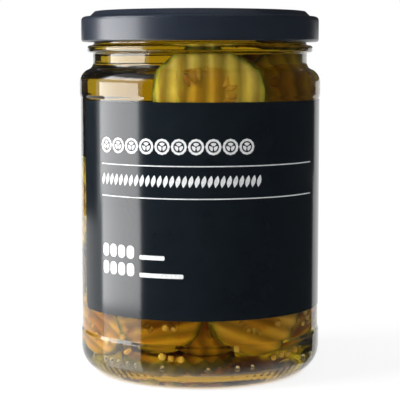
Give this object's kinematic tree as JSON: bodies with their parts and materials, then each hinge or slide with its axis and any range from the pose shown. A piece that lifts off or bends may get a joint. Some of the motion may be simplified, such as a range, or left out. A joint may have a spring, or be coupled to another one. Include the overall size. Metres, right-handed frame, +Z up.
{
  "type": "pickle jar",
  "caption": "Shut glass jar of sliced gherkins in brine, with a twist-off metal lid and a dark wrap-round label.",
  "frame": {"origin": "centre of the ring that the jar stands on, at the bottom of its box", "axes": "+Z up along the jar's axis, the middle of the label's printed face towards -Y"},
  "size_m": [0.0746, 0.0744, 0.1113],
  "materials": {
    "glass": "clear",
    "lid_paint": "satin",
    "label_film": "satin",
    "brine_fill": "clear liquid"
  },
  "bodies": {
    "root": {"glass_jar": "glass", "lid": "lid_paint", "label": "label_film", "brine": "brine_fill"}
  },
  "joints": []
}
